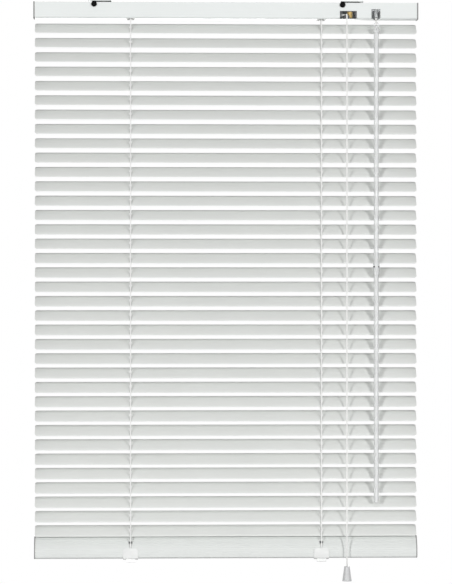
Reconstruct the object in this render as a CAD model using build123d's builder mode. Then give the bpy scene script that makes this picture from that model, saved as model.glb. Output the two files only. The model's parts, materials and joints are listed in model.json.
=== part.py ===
from build123d import *
import os
from math import asin, cos, degrees, pi, radians, sin, sqrt, tan

# Venetian blind of aluminium slats under a steel headrail, in millimetres.
# X runs along the headrail, -Y faces the room and +Z is up. The origin is the middle of the
# two bracket plates' top faces, where the blind meets the ceiling.

os.makedirs("parts", exist_ok=True)

# Clearances
shaft_gap = 0.06
seat_gap = 0.15
cord_gap = 0.2

# Slats
slat_length = 588.0
slat_width = 25.0
slat_crown = 2.0
slat_thickness = 0.25
slat_corner = 4.0
slat_count = 36
slat_pitch = 22.1
slat_slot_length = 8.0
slat_slot_width = 3.6
rest_tilt = 40.0
first_slat_drop = 13.1

# Mounting brackets and latches
bracket_offset = 191.0
plate_length = 34.0
plate_width = 22.0
plate_thickness = 1.2
plate_corner = 3.0
screw_offset = 14.0
screw_hole_radius = 2.25
rivet_radius = 2.0
rivet_head_radius = 3.2
rivet_head_height = 0.8
latch_thickness = 1.5
latch_hub_radius = 4.4
latch_bar_length = 24.0
latch_bar_width = 5.0
latch_neck_width = 7.0
latch_cam_width = 6.0
latch_cam_grip = 1.9
latch_tab_radius = 4.2
latch_tab_thickness = 1.6
latch_tab_drop = 4.2

# Headrail
headrail_length = 588.0
headrail_width = 25.0
headrail_height = 25.0
headrail_wall = 0.7
headrail_corner = 3.0
headrail_lip = 4.0
headrail_top = -(plate_thickness + latch_thickness + 2 * seat_gap)
headrail_bottom = headrail_top - headrail_height
headrail_floor = headrail_bottom + headrail_wall
headrail_front = -headrail_width / 2
window_reach = 3.2
end_cap_thickness = 2.0
end_cap_overhang = 0.3
end_cap_plug = 8.0
end_cap_wall = 1.2

# Ladders, drums and cradles
ladder_offset = 147.0
string_radius = 0.6
rung_radius = 0.3
lift_cord_radius = 0.6
rung_offset = lift_cord_radius + rung_radius + 0.05
rod_drop = 12.3
rod_z = headrail_top - rod_drop
rod_radius = 2.8
rod_overhang = 20.0
drum_radius = 6.4
drum_flange_radius = 7.4
drum_flange_width = 1.2
drum_length = 10.0
journal_radius = 3.6
journal_length = 2.6
cradle_wall = 2.0
cradle_base = 3.0
cradle_length = 30.0
cradle_foot = 0.9
cheek_width = 14.0
cheek_rise = 3.0
floor_slot_length = 14.0
floor_slot_width = 18.4
floor_slot_corner = 3.0
cord_notch_width = 4.4
cord_notch_floor = 0.8

# Tilter and its worm drive
tilter_offset = 230.6
tilter_width = 18.0
tilter_window_width = 13.9
tilter_window_drop = 9.6
worm_lean = 27.0
wheel_teeth = 12
wheel_pitch_radius = 5.2
wheel_width = 3.0
worm_pitch_radius = 2.6
tooth_rise = 0.55
tooth_sink = 0.8
tooth_thickness = 0.9
tooth_flank = 20.0
worm_turns = 3
worm_shaft_radius = 1.7
worm_reach = 25.9
nose_radius = 4.4
nose_length = 12.6
eye_radius = 2.6
eye_wire = 0.6
link_slack = 0.8

# Wand
hook_radius = 3.2
hook_wire = 0.65
hook_stem = 8.4
hook_bar_length = 5.0
wand_head_radius = 5.0
wand_head_length = 6.2
wand_head_rise = 2.4
wand_radius = 3.75
wand_length = 722.7
wand_joint_drop = 354.0
wand_joint_length = 18.4
wand_joint_radius = 4.9

# Cord lock
lock_offset = 188.0
lock_width = 24.0
lock_window_width = 26.0
lock_window_drop = 12.6
lock_wall = 1.6
lock_depth = 8.4
lock_base = 0.8
lock_roof = 3.0
lock_lip_width = 7.5
roller_radius = 4.0
roller_length = 9.6
roller_travel = 2.5
roller_pin_radius = 1.2
roller_pin_length = 0.6
roller_teeth = 18
roller_tooth_radius = 0.35

# Pull cord and tassel
pull_offset = 185.4
pull_cord_radius = 1.1
pull_cord_bend = 4.5
pull_cord_stand = 1.5
pull_cord_length = 848.1
knot_radius = 2.2
tassel_length = 23.0
tassel_top_radius = 4.2
tassel_bottom_radius = 7.3
tassel_wall = 1.4
tassel_roof = 5.0

# Bottom rail
rail_length = 587.0
rail_width = 34.0
rail_height = 13.0
rail_base = 5.0
rail_side = 8.0
rail_wall = 0.9
rail_corner = 2.0
rail_rib_count = 9
rail_rib_radius = 0.4
rail_rib_span = 52.0
rail_drop = 27.0
rail_setback = 1.0
rail_tilt = 68.0
rail_cap_thickness = 1.5
rail_cap_plug = 6.0
rail_hole_place = 5.5
rail_hole_radius = 2.6
lift_knot_radius = 1.2
clip_length = 23.0
clip_thickness = 1.6
clip_reach = -4.5
clip_corner = 4.5
clip_tab_length = 4.5
clip_tab_width = 14.0
clip_tab_thickness = 2.2

# Places worked out from the sizes above
first_slat_z = headrail_bottom - first_slat_drop
last_slat_z = first_slat_z - (slat_count - 1) * slat_pitch
slat_arc = (slat_width**2 / 4 + slat_crown**2) / (2 * slat_crown)
slat_half_angle = degrees(asin(slat_width / 2 / slat_arc))
rail_z = last_slat_z - rail_drop
rail_dome_rise = rail_height - rail_side
rail_arc = (rail_width**2 / 4 + rail_dome_rise**2) / (2 * rail_dome_rise)
rail_arc_centre = rail_height - rail_base - rail_arc
string_drum_radius = drum_radius + string_radius + cord_gap / 2
tilt_cos = cos(radians(rest_tilt))
tilt_sin = sin(radians(rest_tilt))
edge_stand = string_radius + cord_gap
string_front_y = -slat_width / 2 * tilt_cos + slat_crown * tilt_sin - edge_stand
string_rear_y = slat_width / 2 * tilt_cos + slat_crown * tilt_sin + edge_stand


def tilted_section(x, y, z, angle):
    """Plane across the blind at x, its own x running from front to rear at the tilt."""
    turn = radians(angle)
    return Plane(origin=(x, y, z), x_dir=(0, cos(turn), sin(turn)), z_dir=(1, 0, 0))


def rail_point(along, up):
    """Y and Z of a point of the bottom rail's section, from its pivot."""
    turn = radians(rail_tilt)
    y = rail_setback + along * cos(turn) - up * sin(turn)
    z = rail_z + along * sin(turn) + up * cos(turn)
    return y, z


def dome_height(along):
    """Height of the bottom rail's dome above its pivot."""
    return rail_arc_centre + sqrt(rail_arc**2 - along**2)


# Headrail: steel channel with turned-in lips, open at the top
with BuildPart() as headrail:
    with BuildSketch(Plane.YZ.offset(-headrail_length / 2)) as outline:
        with Locations((0, headrail_bottom)):
            Rectangle(headrail_width, headrail_height, align=(Align.CENTER, Align.MIN))
        fillet(outline.vertices().group_by(Axis.Y)[0], headrail_corner)
    extrude(amount=headrail_length)
    with BuildSketch(Plane.YZ.offset(-headrail_length / 2)) as hollow:
        with Locations((0, headrail_floor)):
            Rectangle(
                headrail_width - 2 * headrail_wall,
                headrail_height - 2 * headrail_wall,
                align=(Align.CENTER, Align.MIN),
            )
        fillet(hollow.vertices().group_by(Axis.Y)[0], headrail_corner - headrail_wall)
        with Locations((0, headrail_top)):
            Rectangle(headrail_width - 2 * headrail_lip, 3 * headrail_wall)
    extrude(amount=headrail_length, mode=Mode.SUBTRACT)
    with BuildSketch(Plane.XZ.offset(-headrail_front - window_reach)) as windows:
        with Locations((lock_offset, headrail_top - lock_window_drop)):
            Rectangle(lock_window_width, headrail_height, align=(Align.CENTER, Align.MAX))
        with Locations((tilter_offset, headrail_top - tilter_window_drop)):
            Rectangle(tilter_window_width, headrail_height, align=(Align.CENTER, Align.MAX))
    extrude(amount=2 * window_reach, mode=Mode.SUBTRACT)
    with BuildSketch(Plane.XY.offset(headrail_bottom)) as ladder_slots:
        with GridLocations(2 * ladder_offset, 0, 2, 1):
            RectangleRounded(floor_slot_length, floor_slot_width, floor_slot_corner)
    extrude(amount=2 * headrail_wall, mode=Mode.SUBTRACT)
headrail.part.label = "headrail"
export_step(headrail.part, "parts/headrail.step")

# Headrail end caps: moulded plates with a hollow plug
with BuildPart() as end_caps:
    with BuildSketch(Plane.YZ.offset(headrail_length / 2 + seat_gap)) as cover:
        with Locations((0, headrail_bottom - end_cap_overhang)):
            Rectangle(
                headrail_width + 2 * end_cap_overhang,
                headrail_height + 2 * end_cap_overhang,
                align=(Align.CENTER, Align.MIN),
            )
        fillet(cover.vertices().group_by(Axis.Y)[0], headrail_corner)
    extrude(amount=end_cap_thickness)
    plug_width = headrail_width - 2 * headrail_wall - 2 * seat_gap
    plug_height = headrail_height - 2 * headrail_wall - 2 * seat_gap
    with BuildSketch(Plane.YZ.offset(headrail_length / 2 + seat_gap)) as plug:
        with Locations((0, headrail_floor + seat_gap)):
            Rectangle(plug_width, plug_height, align=(Align.CENTER, Align.MIN))
        fillet(plug.vertices().group_by(Axis.Y)[0], headrail_corner)
        with Locations((0, headrail_floor + seat_gap + plug_height / 2)):
            Rectangle(
                plug_width - 2 * end_cap_wall,
                plug_height - 2 * end_cap_wall,
                mode=Mode.SUBTRACT,
            )
    extrude(amount=-end_cap_plug)
    mirror(about=Plane.YZ)
end_caps.part.label = "end_caps"
export_step(end_caps.part, "parts/end_caps.step")

# Mounting brackets: ceiling plates, each with a riveted pivot for its latch
lever_top = -plate_thickness - seat_gap
lever_bottom = lever_top - latch_thickness
cam_top = headrail_top - headrail_wall - seat_gap
cam_bottom = cam_top - latch_thickness
rivet_end = cam_bottom - seat_gap - rivet_head_height
with BuildPart() as mounting_brackets:
    with BuildSketch() as plate:
        with Locations((bracket_offset + screw_offset / 4, 0)):
            RectangleRounded(plate_length, plate_width, plate_corner)
        with Locations((bracket_offset + screw_offset, 0)):
            Circle(screw_hole_radius, mode=Mode.SUBTRACT)
    extrude(amount=-plate_thickness)
    with BuildSketch(Plane.XY.offset(-plate_thickness)) as shank:
        with Locations((bracket_offset, 0)):
            Circle(rivet_radius)
    extrude(amount=rivet_end + plate_thickness)
    with BuildSketch(Plane.XY.offset(rivet_end)) as rivet_head:
        with Locations((bracket_offset, 0)):
            Circle(rivet_head_radius)
    extrude(amount=rivet_head_height)
    mirror(about=Plane.YZ)
mounting_brackets.part.label = "mounting_brackets"
export_step(mounting_brackets.part, "parts/mounting_brackets.step")

# Latches: a lever over the headrail, a cam under its lips and a round thumb tab in front
tab_back = headrail_front - 1.1
tab_front = tab_back - latch_tab_thickness
bar_centre_y = headrail_front + latch_bar_width / 2 - 0.7
cam_half = headrail_width / 2 - headrail_lip + latch_cam_grip
for latch_name, latch_x in (("latch_left", -bracket_offset), ("latch_right", bracket_offset)):
    tab_x = latch_x - latch_bar_length / 2
    with BuildPart() as latch:
        with BuildSketch(Plane.XY.offset(lever_bottom)) as lever:
            with Locations((latch_x, 0)):
                Circle(latch_hub_radius)
            with Locations((latch_x, bar_centre_y / 2)):
                Rectangle(latch_neck_width, -bar_centre_y)
            with Locations((latch_x, bar_centre_y)):
                SlotOverall(latch_bar_length + latch_bar_width, latch_bar_width)
            with Locations((tab_x, tab_front)):
                Rectangle(
                    latch_bar_width,
                    bar_centre_y - tab_front,
                    align=(Align.CENTER, Align.MIN),
                )
        extrude(amount=latch_thickness)
        with BuildSketch(Plane.XY.offset(cam_bottom)) as hub:
            with Locations((latch_x, 0)):
                Circle(latch_hub_radius)
        extrude(amount=lever_top - cam_bottom)
        with BuildSketch(Plane.XY.offset(cam_bottom)) as cam:
            with Locations((latch_x, 0)):
                SlotOverall(2 * cam_half, latch_cam_width, rotation=90)
        extrude(amount=latch_thickness)
        with BuildSketch(Plane.XZ.offset(-tab_back)) as tab:
            with Locations((tab_x, lever_bottom - latch_tab_drop + latch_thickness / 2)):
                Circle(latch_tab_radius)
        extrude(amount=latch_tab_thickness)
        with Locations((latch_x, 0, (lever_top + cam_bottom) / 2)):
            Cylinder(rivet_radius + shaft_gap, headrail_height, mode=Mode.SUBTRACT)
    latch.part.label = latch_name
    export_step(latch.part, f"parts/{latch_name}.step")

# Ladder cradles: moulded saddles on the headrail's floor that carry the drums
cheek_place = drum_length / 2 + seat_gap + cradle_wall / 2
cradle_floor = headrail_floor + seat_gap / 3
cheek_top = rod_z + journal_radius + cheek_rise
cord_notch_top = rod_z - drum_flange_radius + seat_gap
foot_bottom = headrail_bottom - cradle_foot
with BuildPart() as ladder_cradles:
    with BuildSketch(Plane.YZ.offset(ladder_offset - cradle_length / 2)) as base:
        with Locations((0, cradle_floor)):
            Rectangle(
                headrail_width - 2 * headrail_wall - 2 * seat_gap,
                cradle_base,
                align=(Align.CENTER, Align.MIN),
            )
        fillet(base.vertices().group_by(Axis.Y)[0], headrail_corner - headrail_wall)
    extrude(amount=cradle_length)
    with BuildSketch(Plane.XY.offset(foot_bottom)) as feet:
        with Locations((ladder_offset, 0)):
            RectangleRounded(
                floor_slot_length - 2 * seat_gap,
                floor_slot_width - 2 * seat_gap,
                floor_slot_corner - seat_gap,
            )
    extrude(amount=cradle_floor + cradle_base / 2 - foot_bottom)
    with BuildSketch(Plane.XY.offset(foot_bottom)) as string_slot:
        with Locations((ladder_offset, 0)):
            RectangleRounded(drum_length, floor_slot_width, floor_slot_corner)
    extrude(amount=cradle_floor + cradle_base - foot_bottom, mode=Mode.SUBTRACT)
    for side in (-1, 1):
        cheek_x = ladder_offset + side * cheek_place
        with BuildSketch(Plane.YZ.offset(cheek_x - cradle_wall / 2)) as cheek:
            with Locations((0, cradle_floor + cradle_base / 2)):
                Rectangle(
                    cheek_width,
                    cheek_top - cradle_floor - cradle_base / 2,
                    align=(Align.CENTER, Align.MIN),
                )
            fillet(cheek.vertices().group_by(Axis.Y)[-1], cheek_rise)
            with Locations((0, rod_z)):
                Circle(journal_radius + shaft_gap, mode=Mode.SUBTRACT)
        extrude(amount=cradle_wall)
    with Locations((ladder_offset, 0, cradle_floor + cord_notch_floor)):
        Box(
            cradle_length,
            cord_notch_width,
            cord_notch_top - cradle_floor - cord_notch_floor,
            align=(Align.CENTER, Align.CENTER, Align.MIN),
            mode=Mode.SUBTRACT,
        )
    mirror(about=Plane.YZ)
ladder_cradles.part.label = "ladder_cradles"
export_step(ladder_cradles.part, "parts/ladder_cradles.step")

# Tilt rod: hexagonal steel rod through both drums and the worm wheel
rod_start = -ladder_offset - rod_overhang
rod_end = tilter_offset + tilter_width / 2 + rod_overhang / 4
with BuildPart() as tilt_rod:
    with BuildSketch(Plane.YZ.offset(rod_start)) as rod_section:
        with Locations((0, rod_z)):
            RegularPolygon(rod_radius, 6)
    extrude(amount=rod_end - rod_start)
tilt_rod.part.label = "tilt_rod"
export_step(tilt_rod.part, "parts/tilt_rod.step")

# Tilt drums: grooved spools on the rod that wind the ladder strings
with BuildPart() as tilt_drums:
    drum_start = ladder_offset - drum_length / 2
    steps = (
        (drum_start - journal_length, drum_length + 2 * journal_length, journal_radius),
        (drum_start, drum_length, drum_radius),
        (drum_start, drum_flange_width, drum_flange_radius),
        (drum_start + drum_length - drum_flange_width, drum_flange_width, drum_flange_radius),
    )
    for step_x, step_length, step_radius in steps:
        with BuildSketch(Plane.YZ.offset(step_x)) as step:
            with Locations((0, rod_z)):
                Circle(step_radius)
        extrude(amount=step_length)
    with BuildSketch(Plane.YZ.offset(drum_start - journal_length)) as bore:
        with Locations((0, rod_z)):
            RegularPolygon(rod_radius + shaft_gap, 6)
    extrude(amount=drum_length + 2 * journal_length, mode=Mode.SUBTRACT)
    mirror(about=Plane.YZ)
tilt_drums.part.label = "tilt_drums"
export_step(tilt_drums.part, "parts/tilt_drums.step")

# Worm wheel: straight teeth on the tilt rod, one tooth facing the worm at rest
worm_distance = wheel_pitch_radius + worm_pitch_radius
lean_cos = cos(radians(worm_lean))
lean_sin = sin(radians(worm_lean))
tooth_pitch = 2 * pi * wheel_pitch_radius / wheel_teeth
flank = tan(radians(tooth_flank))
tip_half = tooth_thickness / 2 - tooth_rise * flank
root_half = tooth_thickness / 2 + tooth_sink * flank
wheel_root = wheel_pitch_radius - tooth_sink
with BuildPart() as worm_wheel:
    with BuildSketch(Plane.YZ.offset(tilter_offset - wheel_width / 2)) as wheel:
        with Locations((0, rod_z)):
            Circle(wheel_root + tooth_sink / 8)
            with PolarLocations(0, wheel_teeth, start_angle=180 - worm_lean):
                Polygon(
                    (wheel_root - tooth_sink / 2, -root_half),
                    (wheel_pitch_radius + tooth_rise, -tip_half),
                    (wheel_pitch_radius + tooth_rise, tip_half),
                    (wheel_root - tooth_sink / 2, root_half),
                    align=None,
                )
            RegularPolygon(rod_radius + shaft_gap, 6, mode=Mode.SUBTRACT)
    extrude(amount=wheel_width)
worm_wheel.part.label = "worm_wheel"
export_step(worm_wheel.part, "parts/worm_wheel.step")

# Worm: single-start thread on a leaning shaft that ends in an eye. It is drawn upright on Z,
# with its thread facing the wheel on +X, and then set into the tilter.
worm_root = worm_pitch_radius - tooth_sink
thread_start = -worm_turns / 2 * tooth_pitch
eye_centre = -worm_reach + eye_radius - link_slack
with BuildPart() as worm_upright:
    with Locations((0, 0, thread_start)):
        Cylinder(
            worm_root,
            worm_turns * tooth_pitch + tooth_sink,
            align=(Align.CENTER, Align.CENTER, Align.MIN),
        )
    with BuildLine() as thread_line:
        helix = Helix(tooth_pitch, worm_turns * tooth_pitch, worm_root, center=(0, 0, thread_start))
    with BuildSketch(Plane(origin=helix @ 0, x_dir=(1, 0, 0), z_dir=helix % 0)) as thread:
        Polygon(
            (-tooth_sink / 4, -root_half),
            (tooth_rise + tooth_sink, -tip_half),
            (tooth_rise + tooth_sink, tip_half),
            (-tooth_sink / 4, root_half),
            align=None,
        )
    sweep(path=helix, is_frenet=True)
    with Locations((0, 0, thread_start)):
        Cylinder(
            worm_shaft_radius,
            thread_start - eye_centre - eye_radius,
            align=(Align.CENTER, Align.CENTER, Align.MAX),
        )
    with Locations((0, 0, eye_centre)):
        Torus(eye_radius, eye_wire, rotation=(90, 0, 0))
worm_plane = Plane(
    origin=(tilter_offset, -worm_distance * lean_cos, rod_z + worm_distance * lean_sin),
    x_dir=(0, lean_cos, -lean_sin),
    z_dir=(0, lean_sin, lean_cos),
)
worm = worm_plane.location * worm_upright.part
worm.label = "worm"
export_step(worm, "parts/worm.step")

# Tilter housing: two clear halves around the wheel and the worm, with a nose in the window
housing_bottom = headrail_floor + seat_gap / 3
housing_top = headrail_top - headrail_wall - 4 * seat_gap
thread_tip = worm_pitch_radius + tooth_rise
chamber = worm_turns * tooth_pitch + 2 * tooth_thickness
with BuildPart() as tilter_housing:
    with Locations((tilter_offset, 0, housing_bottom)):
        Box(
            tilter_width,
            headrail_width - 2 * headrail_wall - 2 * seat_gap,
            housing_top - housing_bottom,
            align=(Align.CENTER, Align.CENTER, Align.MIN),
        )
    fillet(tilter_housing.edges().filter_by(Axis.X).group_by(Axis.Z)[0], headrail_corner)
    nose_start = thread_start - tooth_thickness
    with BuildSketch(worm_plane.offset(nose_start)) as nose:
        Circle(nose_radius)
    extrude(amount=-nose_length)
    with BuildSketch(Plane.YZ.offset(tilter_offset - wheel_width / 2 - seat_gap)) as wheel_room:
        with Locations((0, rod_z)):
            Circle(wheel_pitch_radius + tooth_rise + seat_gap)
    extrude(amount=wheel_width + 2 * seat_gap, mode=Mode.SUBTRACT)
    with BuildSketch(Plane.YZ.offset(tilter_offset - tilter_width / 2)) as rod_room:
        with Locations((0, rod_z)):
            Circle(rod_radius + seat_gap)
    extrude(amount=tilter_width, mode=Mode.SUBTRACT)
    with BuildSketch(worm_plane.offset(-chamber / 2)) as worm_room:
        Circle(thread_tip + seat_gap)
    extrude(amount=chamber, mode=Mode.SUBTRACT)
    with BuildSketch(worm_plane) as shaft_room:
        Circle(worm_shaft_radius + shaft_gap)
    extrude(amount=-worm_reach, mode=Mode.SUBTRACT)
    split(bisect_by=Plane.YZ.offset(tilter_offset), keep=Keep.BOTH)
tilter_housing.part.label = "tilter_housing"
export_step(tilter_housing.part, "parts/tilter_housing.step")

# Wand hook: wire ring through the worm's eye, with a stem and a cross bar in the wand's head
link_point = worm_plane.from_local_coords((0, 0, -worm_reach))
hook_y = link_point.Y
hook_centre = link_point.Z + link_slack - hook_radius
hook_bar_z = hook_centre - hook_stem
with BuildPart() as wand_hook:
    with Locations((tilter_offset, hook_y, hook_centre)):
        Torus(hook_radius, hook_wire, rotation=(90, 0, 0))
    with Locations((tilter_offset, hook_y, hook_bar_z)):
        Cylinder(
            hook_wire,
            hook_stem - hook_radius,
            align=(Align.CENTER, Align.CENTER, Align.MIN),
        )
        Cylinder(hook_wire, hook_bar_length, rotation=(0, 90, 0))
wand_hook.part.label = "wand_hook"
export_step(wand_hook.part, "parts/wand_hook.step")

# Wand head: clear cap with a cross hole for the hook's bar and a slot for its stem
head_top = hook_bar_z + wand_head_rise
head_bottom = head_top - wand_head_length
stem_slot = 2 * (hook_wire + seat_gap)
with BuildPart() as wand_head:
    with BuildSketch(Plane.XY.offset(head_bottom)) as head:
        with Locations((tilter_offset, hook_y)):
            Circle(wand_head_radius)
    extrude(amount=wand_head_length)
    chamfer(wand_head.edges().group_by(Axis.Z)[-1], hook_wire)
    with Locations((tilter_offset, hook_y, hook_bar_z)):
        Cylinder(
            hook_wire + seat_gap,
            hook_bar_length + 2 * seat_gap,
            rotation=(0, 90, 0),
            mode=Mode.SUBTRACT,
        )
        with Locations((0, (stem_slot / 2 - wand_head_radius) / 2, wand_head_rise / 2)):
            Box(
                stem_slot,
                wand_head_radius + stem_slot / 2,
                wand_head_rise,
                mode=Mode.SUBTRACT,
            )
wand_head.part.label = "wand_head"
export_step(wand_head.part, "parts/wand_head.step")

# Wand rods: two clear hexagonal rods, end to end
rod_ends = (
    (head_bottom, head_bottom - wand_joint_drop - wand_joint_length / 2 + seat_gap),
    (head_bottom - wand_joint_drop - wand_joint_length / 2 - seat_gap, head_bottom - wand_length),
)
with BuildPart() as wand_rods:
    for upper, lower in rod_ends:
        with BuildSketch(Plane.XY.offset(lower)) as wand_section:
            with Locations((tilter_offset, hook_y)):
                RegularPolygon(wand_radius, 6)
        extrude(amount=upper - lower)
    fillet(wand_rods.edges().group_by(Axis.Z)[0], wand_radius / 3)
wand_rods.part.label = "wand_rods"
export_step(wand_rods.part, "parts/wand_rods.step")

# Wand joint: clear sleeve over the rods' meeting ends
with BuildPart() as wand_joint:
    with BuildSketch(Plane.XY.offset(head_bottom - wand_joint_drop - wand_joint_length)) as sleeve:
        with Locations((tilter_offset, hook_y)):
            Circle(wand_joint_radius)
            RegularPolygon(wand_radius + shaft_gap, 6, mode=Mode.SUBTRACT)
    extrude(amount=wand_joint_length)
wand_joint.part.label = "wand_joint"
export_step(wand_joint.part, "parts/wand_joint.step")

# Cord lock body: open-fronted case in the headrail's window, with a rounded lip under the cord
lock_bottom = headrail_floor + seat_gap / 3
lock_cavity_bottom = lock_bottom + lock_base
lock_cavity_top = lock_cavity_bottom + roller_length + 2 * seat_gap
lock_back = headrail_front + headrail_wall + seat_gap + lock_depth
lock_front = lock_back - lock_depth
pull_x = pull_offset
roller_x = pull_x + pull_cord_radius + seat_gap + roller_radius
roller_y = lock_front + roller_radius + seat_gap
cord_run_z = (lock_cavity_bottom + lock_cavity_top) / 2
lip_centre_y = headrail_front - pull_cord_stand
lip_centre_z = cord_run_z - pull_cord_bend
lip_radius = pull_cord_bend - pull_cord_radius - seat_gap
with BuildPart() as cord_lock_body:
    with Locations((lock_offset, lock_back, lock_bottom)):
        Box(
            lock_width,
            lock_depth,
            lock_cavity_top + lock_roof - lock_bottom,
            align=(Align.CENTER, Align.MAX, Align.MIN),
        )
    fillet(
        cord_lock_body.edges().filter_by(Axis.X).group_by(Axis.Z)[0].sort_by(Axis.Y)[0],
        headrail_corner - headrail_wall,
    )
    with Locations((lock_offset, lock_back, lock_cavity_bottom)):
        Box(
            lock_width - 2 * lock_wall,
            3 * lock_depth,
            lock_cavity_top - lock_cavity_bottom,
            align=(Align.CENTER, Align.CENTER, Align.MIN),
            mode=Mode.SUBTRACT,
        )
    with BuildSketch(Plane.XY.offset(lock_bottom)) as pin_slot:
        with Locations((roller_x + roller_travel / 2, roller_y)):
            SlotCenterToCenter(roller_travel, 2 * (roller_pin_radius + shaft_gap))
    extrude(amount=lock_cavity_top + lock_roof - lock_bottom, mode=Mode.SUBTRACT)
    with BuildSketch(Plane.YZ.offset(lock_offset - lock_width / 2)) as cord_entry:
        with Locations((roller_y, cord_run_z)):
            SlotOverall(6 * lift_cord_radius, 4 * lift_cord_radius, rotation=90)
    extrude(amount=lock_wall, mode=Mode.SUBTRACT)
    with BuildSketch(Plane.YZ.offset(pull_x - lock_lip_width / 2)) as lip:
        with Locations((lip_centre_y, lip_centre_z)):
            Circle(lip_radius)
        with Locations((lock_front - seat_gap, lock_cavity_bottom)):
            Rectangle(lip_radius, lip_radius, align=(Align.MIN, Align.MIN), mode=Mode.SUBTRACT)
        with Locations((lip_centre_y, lock_bottom)):
            Rectangle(2 * lip_radius, lip_radius, align=(Align.CENTER, Align.MAX), mode=Mode.SUBTRACT)
            Rectangle(
                lock_front - lip_centre_y + headrail_corner,
                lock_base,
                align=(Align.MIN, Align.MIN),
            )
    extrude(amount=lock_lip_width)
cord_lock_body.part.label = "cord_lock_body"
export_step(cord_lock_body.part, "parts/cord_lock_body.step")

# Cord lock roller: grooved brass roller on two short pins
with BuildPart() as cord_lock_roller:
    with BuildSketch(Plane.XY.offset(lock_cavity_bottom + seat_gap)) as roller:
        with Locations((roller_x, roller_y)):
            Circle(roller_radius)
            with PolarLocations(roller_radius, roller_teeth):
                Circle(roller_tooth_radius, mode=Mode.SUBTRACT)
    extrude(amount=roller_length)
    with Locations((roller_x, roller_y, cord_run_z)):
        Cylinder(roller_pin_radius, roller_length + 2 * (seat_gap + roller_pin_length))
cord_lock_roller.part.label = "cord_lock_roller"
export_step(cord_lock_roller.part, "parts/cord_lock_roller.step")

# Pull cord: over the lock's lip and straight down into the tassel, with a knot at its end
pull_y = lip_centre_y - pull_cord_bend
tassel_top = cord_run_z - pull_cord_length
knot_z = tassel_top - tassel_roof - knot_radius - seat_gap
with BuildPart() as pull_cord:
    with BuildLine() as pull_line:
        FilletPolyline(
            (pull_x, lock_back - lock_wall - cord_gap, cord_run_z),
            (pull_x, pull_y, cord_run_z),
            (pull_x, pull_y, knot_z),
            radius=pull_cord_bend,
        )
    pull_path = pull_line.wire()
    with BuildSketch(Plane(origin=pull_path @ 0, z_dir=pull_path % 0)) as pull_section:
        Circle(pull_cord_radius)
    sweep()
    with Locations((pull_x, pull_y, knot_z)):
        Sphere(knot_radius)
pull_cord.part.label = "pull_cord"
export_step(pull_cord.part, "parts/pull_cord.step")
print("pull cord bend radius", pull_cord_bend, "over the lip of radius", round(lip_radius, 2))

# Tassel: hollow tapered cone hanging on the knot
tassel_bore = pull_cord_radius + seat_gap
tassel_inner_top = knot_radius + 3 * seat_gap
with BuildPart() as tassel:
    with BuildSketch(Plane.XZ) as tassel_section:
        Polygon(
            (tassel_bore, 0),
            (tassel_top_radius, 0),
            (tassel_bottom_radius, -tassel_length),
            (tassel_bottom_radius - tassel_wall, -tassel_length),
            (tassel_inner_top, -tassel_roof),
            (tassel_bore, -tassel_roof),
            align=None,
        )
    revolve(axis=Axis.Z)
    fillet(tassel.edges().group_by(Axis.Z)[-1].sort_by(SortBy.LENGTH)[-1], tassel_wall / 2)
hung_tassel = Pos(pull_x, pull_y, tassel_top) * tassel.part
hung_tassel.label = "tassel"
export_step(hung_tassel, "parts/tassel.step")

# Slats: thin crowned strips with rounded corners and two cord slots, one node each
slat_levels = [first_slat_z - place * slat_pitch for place in range(slat_count)]
for number, slat_z in enumerate(slat_levels, start=1):
    with BuildPart() as slat:
        with BuildSketch(tilted_section(-slat_length / 2, 0, slat_z, rest_tilt)) as slat_section:
            with BuildLine() as slat_edges:
                start_angle = 90 - slat_half_angle
                under = CenterArc(
                    (0, -slat_arc), slat_arc - slat_thickness / 2, start_angle, 2 * slat_half_angle
                )
                over = CenterArc(
                    (0, -slat_arc), slat_arc + slat_thickness / 2, start_angle, 2 * slat_half_angle
                )
                Line(under @ 0, over @ 0)
                Line(under @ 1, over @ 1)
            make_face()
        extrude(amount=slat_length)
        slat_face = Plane(origin=(0, 0, slat_z), x_dir=(1, 0, 0), z_dir=(0, -tilt_sin, tilt_cos))
        with BuildSketch(slat_face) as slat_outline:
            RectangleRounded(slat_length, slat_width + slat_thickness, slat_corner)
            with GridLocations(2 * ladder_offset, 0, 2, 1):
                SlotOverall(slat_slot_length, slat_slot_width, rotation=90, mode=Mode.SUBTRACT)
        extrude(amount=2 * slat_crown, both=True, mode=Mode.INTERSECT)
    slat.part.label = f"slat_{number:02d}"
    export_step(slat.part, f"parts/slat_{number:02d}.step")


def rail_outline(x, growth):
    """Half-round section of the bottom rail at x, grown all round."""
    half = rail_width / 2 + growth
    base = -rail_base - growth
    arc = rail_arc + growth
    shoulder = rail_arc_centre + sqrt(arc**2 - half**2)
    with BuildSketch(tilted_section(x, rail_setback, rail_z, rail_tilt)) as outline:
        with BuildLine():
            Polyline((-half, shoulder), (-half, base), (half, base), (half, shoulder))
            ThreePointArc((half, shoulder), (0, rail_arc_centre + arc), (-half, shoulder))
        make_face()
        fillet(outline.vertices().group_by(Axis.Y)[0], rail_corner + growth)
    return outline.sketch


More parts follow.
